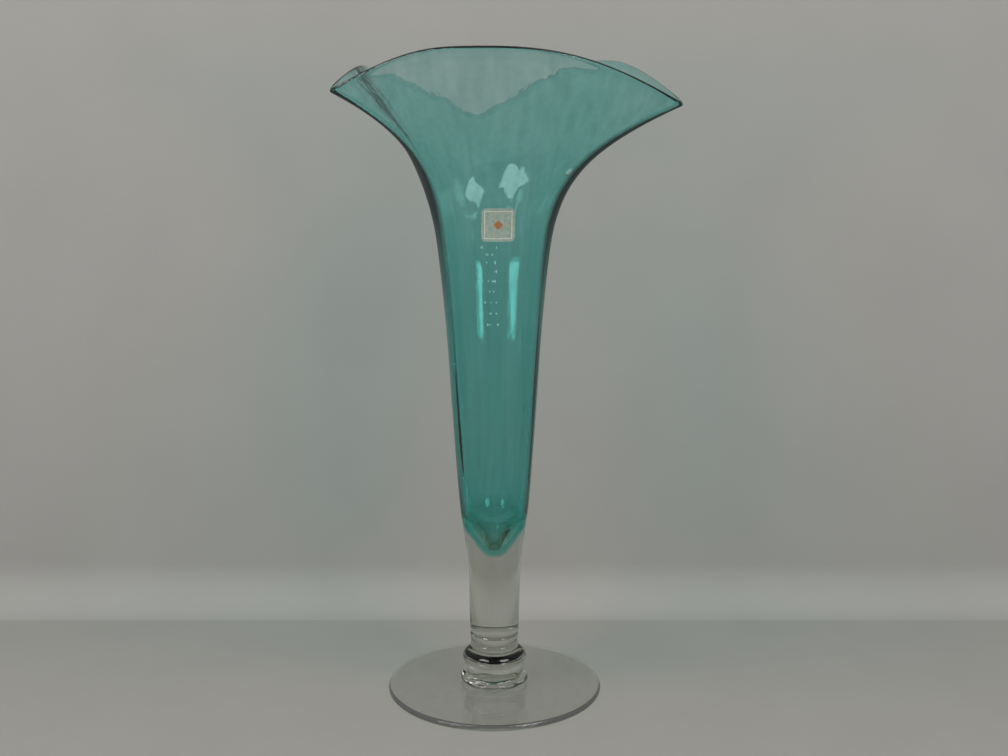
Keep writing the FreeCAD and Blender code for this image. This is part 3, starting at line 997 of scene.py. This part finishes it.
    def blow(self) -> None:
        """Give the skin the soft unevenness of blown glass: slow waves, and long cords in the wall."""
        draw = random.Random(5)
        turns = np.radians(self.degrees)[None, :]
        heights = self.points[:, :, 2]
        radii = np.hypot(self.points[:, :, 0], self.points[:, :, 1])
        outer = np.arange(self.points.shape[0])[:, None] < self.outer_rows
        rise = np.clip((heights - 135.0) / 40.0, 0, 1)
        lip = np.clip((heights.max(axis=0)[None, :] - heights) / 16.0, 0, 1)
        wave, cords, dimples = (np.zeros_like(heights) for _ in range(3))
        for count, strength in self.slow_waves:
            wave += strength * np.cos(count * turns + draw.uniform(0, 6) + heights * draw.uniform(-0.03, 0.03))
        run = turns * radii
        for _ in range(self.dimple_waves):
            length, way = draw.uniform(*self.dimple_lengths), draw.uniform(0, math.pi)
            place = run * math.cos(way) + heights * math.sin(way)
            dimples += np.cos(place * math.tau / length + draw.uniform(0, math.tau))
        dimples *= np.clip((heights - 290.0) / 60.0, 0, 1)
        for count, strength in self.long_cords:
            phase = draw.uniform(0, math.tau)
            twist = draw.uniform(-0.01, 0.01)
            cords += strength * np.cos(count * (turns + twist * heights / 10) + phase)
        thin = np.clip(radii / 40.0, 0.6, 2.2)
        inward = self.cord_push * cords + self.dimple_push * dimples - 0.05
        push = np.where(outer, -self.wave_push * (1 + wave * 0.8), inward) * rise * lip
        push = np.where(outer, push, push / thin)
        push *= np.where(outer, 1.0, np.clip((radii - 12.0) / 8.0, 0, 1))
        steps = np.linalg.norm(np.diff(self.points, axis=0), axis=2)
        along = np.concatenate([np.zeros((1, steps.shape[1])), np.cumsum(steps, axis=0)])
        self.past_lip = along - along[self.outer_rows]
        bead = self.bead_push * np.exp(-(((self.past_lip - self.bead_place) / self.bead_spread) ** 2))
        push += np.where(outer, 0.0, bead)
        self.points += self.normals * push[:, :, None]

    def nose_outline(self) -> tuple[list[tuple[float, float]], tuple[float, float]]:
        """The outside from its lowest ring up to the joint, as radii and heights, and the next ring."""
        radii = np.hypot(self.points[: self.outer_rows, 0, 0], self.points[: self.outer_rows, 0, 1])
        heights = self.points[: self.outer_rows, 0, 2]
        count = int(np.sum(heights <= self.joint_circle_height + SAME_PLACE))
        rings = [(float(radius), float(height)) for radius, height in zip(radii, heights)]
        return rings[:count], rings[count]

    def spot(self, degrees: float, height: float) -> tuple[np.ndarray, np.ndarray, np.ndarray]:
        """A place on the outside.

        Args:
            degrees: Its direction round the axis.
            height: Its height.

        Returns:
            The place, the skin's normal there and the direction up along the skin.
        """
        gaps = np.abs((self.degrees - degrees + 180) % FULL_TURN - 180)
        column = int(np.argmin(gaps))
        row = int(np.argmin(np.abs(self.points[: self.outer_rows - 4, column, 2] - height)))
        up = self.points[row + 1, column] - self.points[row - 1, column]
        return self.points[row, column], self.normals[row, column], up / np.linalg.norm(up)

    def radius_at(self, degrees: float, height: float) -> float:
        """The outside's radius in a direction at a height."""
        turns = self.degrees % FULL_TURN
        order = np.argsort(turns)
        place = np.searchsorted(turns[order], degrees % FULL_TURN)
        low, high = order[place - 1], order[place % len(order)]
        span = (turns[high] - turns[low]) % FULL_TURN
        share = ((degrees - turns[low]) % FULL_TURN) / span if span else 0.0
        found = []
        for column in (low, high):
            heights = self.points[: self.outer_rows - 6, column, 2]
            radii = np.hypot(*self.points[: self.outer_rows - 6, column, :2].T)
            found.append(float(np.interp(height, heights, radii)))
        return found[0] + (found[1] - found[0]) * share

    def seeds(self) -> list[tuple[np.ndarray, list, float]]:
        """Small closed bubbles of air inside the wall: points, faces that face into the air, and how much of the
        pale rough shader paints their glints.
        """
        draw = random.Random(19)
        wanted = []
        for _ in range(self.front_seeds):
            size = draw.uniform(0.2, 0.42)
            degrees = draw.gauss(self.front_seed_degrees, 6.0)
            wanted.append((degrees, draw.uniform(*self.front_seed_heights), size, draw.uniform(1.0, 3.4)))
        for _ in range(self.stray_seeds):
            degrees = draw.uniform(0, FULL_TURN)
            wanted.append((degrees, draw.uniform(*self.stray_seed_heights), draw.uniform(0.12, 0.26), 1.5))
        wanted.append(self.blister)
        shape = bmesh.new()
        bmesh.ops.create_icosphere(shape, subdivisions=2, radius=1.0)
        ball = np.array([vertex.co[:] for vertex in shape.verts])
        faces = [tuple(reversed([vertex.index for vertex in face.verts])) for face in shape.faces]
        shape.free()
        found = []
        for degrees, height, radius, length in wanted:
            centre, normal, up = self.spot(degrees, height)
            side = np.cross(up, normal)
            flat = min(radius, self.seed_half_depth)
            middle = centre - normal * self.seed_depth
            points = middle + ball @ np.stack([side * radius, up * radius * length, normal * flat])
            # Painted glints: each bubble's share of the pale rough shader
            bloom = self.blister_glint if (degrees, height) == self.blister[:2] else 1.0
            found.append((points, faces, bloom))
        return found

    def build(self, material: bpy.types.Material) -> None:
        rows, columns = self.points.shape[:2]
        places, faces = closed_grid(self.points, tuple(self.points[[0, -1], 0, 2].tolist()))
        heights, run = self.points[1:, :, 2], np.abs(self.past_lip[1:])
        outside = np.arange(rows - 1)[:, None] < self.outer_rows
        joined = outside & (heights[:, :1] <= self.joint_circle_height + SAME_PLACE)
        # Painted shade for the outside's grazing edges, weaker low on the tube
        edge_shade = np.clip((heights - self.dark_from) / self.dark_over, self.least_dark, 1)
        in_tube = np.clip((self.tube_tint_top - heights) / self.tube_tint_over, 0, 1)
        in_nose = np.clip((self.nose_tint_top - heights) / self.nose_tint_over, 0, 1)
        at_lip = np.clip((self.lip_tint_run - run) / self.lip_tint_over, 0, 1)
        deep = np.maximum(self.tube_tint * in_tube + (1 - self.tube_tint) * in_nose, self.lip_tint * at_lip)
        marks = {
            FUSED: np.repeat(joined.astype(float), columns).tolist() + [1.0, 0.0] * columns,
            FROST_AND_GLINT: [0.0] * len(faces),
            PAINTED_EDGE_SHADE: np.where(outside, edge_shade, 0.0).ravel().tolist(),
            DEPTH_OF_TINT: deep.ravel().tolist(),
        }
        for points, rounds, bloom in self.seeds():
            start = len(places)
            places.extend(points.tolist())
            faces.extend(tuple(number + start for number in face) for face in rounds)
            # The bubbles' faces take the pale rough shader, as painted glints
            marks[FROST_AND_GLINT].extend([bloom] * len(rounds))
        piece = make_piece("trumpet_bowl_glass", places, faces, material, marks)
        declare(piece, "trumpet_bowl")


@dataclass
class Label:
    """The small film stuck on the front of the bowl."""

    side: float = 20.6
    corner: float = 3.2
    thickness: float = 0.25
    height: float = 316.4
    degrees: float = -85.6
    steps: int = 28
    skin_gap: float = 0.04

    def rounded_spot(self, right: float, up: float) -> tuple[float, float]:
        """Pull a place of the square in where its corners are rounded."""
        inner = self.side / 2 - self.corner
        beyond = (abs(right) - inner, abs(up) - inner)
        if min(beyond) <= 0:
            return right, up
        scale = max(beyond) / math.hypot(*beyond)
        return (
            math.copysign(inner + beyond[0] * scale, right),
            math.copysign(inner + beyond[1] * scale, up),
        )

    def build(self, bowl: TrumpetBowl, material: bpy.types.Material) -> None:
        count = self.steps + 1
        layers: list[list[list[float]]] = [[], []]
        spots = []
        for row in range(count):
            for column in range(count):
                spot = self.rounded_spot(*(self.side * (place / self.steps - 0.5) for place in (column, row)))
                spots.append(spot)
                height = self.height + spot[1]
                radius, turn = bowl.radius_at(self.degrees, height), 0.0
                for _ in range(4):
                    turn = math.degrees(math.asin(spot[0] / radius))
                    radius = bowl.radius_at(self.degrees + turn, height)
                angle = math.radians(self.degrees + turn)
                for layer, lift in zip(layers, (self.skin_gap, self.thickness)):
                    reach = radius + lift
                    layer.append([reach * math.cos(angle), reach * math.sin(angle), height])
        flat = layers[0] + layers[1]
        size = count * count
        faces = []
        for row in range(self.steps):
            for column in range(self.steps):
                corners = [row * count + column, row * count + column + 1]
                corners += [corners[1] + count, corners[0] + count]
                faces.append(tuple(number + size for number in corners))
                faces.append(tuple(reversed(corners)))
        edge = [*range(count), *(row * count + count - 1 for row in range(1, count))]
        edge += [size - 1 - number for number in range(1, count)]
        edge += [row * count for row in range(count - 2, 0, -1)]
        for number, start in enumerate(edge):
            after = edge[(number + 1) % len(edge)]
            faces.append((start, after, after + size, start + size))
        piece = make_piece("label_film_piece", flat, faces, material)
        chart = piece.data.uv_layers.new(name="label_chart")
        for loop in piece.data.loops:
            spot = spots[loop.vertex_index % size]
            chart.data[loop.index].uv = (spot[0] / self.side + 0.5, spot[1] / self.side + 0.5)
        declare(piece, "label")


@dataclass(frozen=True)
class SoftBox:
    """A tall soft lamp that faces the vase."""

    name: str
    azimuth: float
    distance: float
    low: float
    high: float
    width: float
    radiance: float
    tint: Colour = (1.0, 0.99, 0.97)
    lean: float = 0.0
    through_glass: bool = True

    def build(self) -> None:
        """Place the lamp. Its azimuth is from the front, positive to the right."""
        tall = self.high - self.low
        lamp = bpy.data.lights.new(self.name, "AREA")
        lamp.shape = "RECTANGLE"
        lamp.size, lamp.size_y = self.width, tall
        lamp.energy = self.radiance * math.pi * self.width * tall
        lamp.color = self.tint
        holder = place_object(self.name, lamp)
        turn = math.radians(self.azimuth)
        middle = (self.low + self.high) / 2
        holder.location = (self.distance * math.sin(turn), -self.distance * math.cos(turn), middle)
        lean = math.radians(self.lean)
        level = math.cos(lean)
        facing = Vector((-math.sin(turn) * level, math.cos(turn) * level, -math.sin(lean)))
        holder.rotation_euler = facing.to_track_quat("-Z", "Y").to_euler()
        holder.visible_camera = False
        holder.visible_transmission = self.through_glass
        LOG.info("lamp %s at %.0f degrees", self.name, self.azimuth)


@dataclass
class Studio:
    """The floor, the wall close behind, the lamps, the surroundings and the camera."""

    wall_distance: float = 0.163
    cove: float = 0.035
    half_width: float = 3.0
    wall_top: float = 2.2
    floor_drop: float = 0.0002
    floor_finish: StageFinish = StageFinish("floor_paper", (0.365, 0.357, 0.34))
    wall_finish: StageFinish = StageFinish("wall_paper", (0.4, 0.391, 0.378))
    lens: float = 46.43
    eye: tuple[float, float, float] = (0.0065, -0.843, 0.3584)
    pitch: float = 9.7
    cove_steps: int = 12
    horizon: Colour = (0.36, 0.36, 0.352)
    overhead: Colour = (0.22, 0.22, 0.22)
    bounces: int = 32
    soft_boxes: tuple[SoftBox, ...] = (
        SoftBox("left_window", -47.0, 0.95, 0.225, 0.41, 0.34, 7.5),
        SoftBox("right_window", 37.0, 0.95, 0.225, 0.41, 0.3, 7.5),
        SoftBox("left_softbox", -58.0, 0.85, 1.05, 1.6, 0.75, 5.6, lean=48.0, through_glass=False),
        SoftBox("right_softbox", 52.0, 0.85, 1.05, 1.6, 0.75, 5.6, lean=48.0, through_glass=False),
    )

    def floor(self) -> None:
        """Lay the floor."""
        half = self.half_width
        corners = [(-half, -half), (half, -half), (half, half), (-half, half)]
        self.stage_mesh("floor", [(x, y, -self.floor_drop) for x, y in corners], [(0, 1, 2, 3)], self.floor_finish)

    def wall(self) -> None:
        """Stand the wall, with a small cove at its foot."""
        spots = []
        for number in range(self.cove_steps + 1):
            angle = math.radians(90 * number / self.cove_steps)
            away, up = self.cove * (1 - math.sin(angle)), self.cove * (1 - math.cos(angle))
            spots.append((self.wall_distance - away, up))
        spots.append((self.wall_distance, self.wall_top))
        points, faces = [], []
        for y, z in spots:
            points += [(-self.half_width, y, z), (self.half_width, y, z)]
        for number in range(len(spots) - 1):
            low = number * 2
            faces.append((low, low + 1, low + 3, low + 2))
        self.stage_mesh("wall", points, faces, self.wall_finish)

    @staticmethod
    def stage_mesh(name: str, points: list, faces: list, finish: StageFinish) -> None:
        """Make a mesh that isn't part of the vase."""
        place_object(name, smooth_mesh(name, points, faces, finish.make()))

    def surroundings(self) -> None:
        """A plain room: pale round the horizon and darker overhead."""
        world = bpy.context.scene.world or bpy.data.worlds.new("room")
        bpy.context.scene.world = world
        board = Board(world)
        way = board.add("ShaderNodeTexCoord").other("Generated")
        height = board.add("ShaderNodeSeparateXYZ", None, {0: way}).other("Z")
        sky = height.ramp((0.22, self.horizon), (0.6, self.overhead))
        light = board.add("ShaderNodeBackground", None, {"Color": sky, "Strength": 1.0})
        board.add("ShaderNodeOutputWorld", None, {"Surface": light})

    def camera(self) -> None:
        """Stand the camera at the photograph's angle."""
        camera = bpy.data.cameras.new("camera")
        camera.sensor_width = 36.0
        camera.lens = self.lens
        camera.clip_start = 0.01
        holder = place_object("camera", camera)
        holder.location = self.eye
        holder.rotation_euler = (math.radians(90 - self.pitch), 0, 0)
        bpy.context.scene.camera = holder

    def build(self) -> None:
        """Set the whole studio up."""
        self.floor()
        self.wall()
        for soft_box in self.soft_boxes:
            soft_box.build()
        self.surroundings()
        self.camera()
        scene = bpy.context.scene
        scene.view_settings.view_transform = "Standard"
        scene.cycles.use_denoising = True
        for kind in ("max_bounces", "transmission_bounces", "transparent_max_bounces"):
            setattr(scene.cycles, kind, self.bounces)


def main() -> None:
    """Build the studio and every piece in order."""
    logging.basicConfig(level=logging.INFO, format="%(name)s: %(message)s")
    Studio().build()
    clear = CLEAR_GLASS.make()
    bowl = TrumpetBowl()
    ClearBase().build(clear)
    Stem().build(clear, *bowl.nose_outline())
    bowl.build(TEAL_GLASS.make())
    Label().build(bowl, LabelFilm().make())


if __name__ == "__main__":
    main()
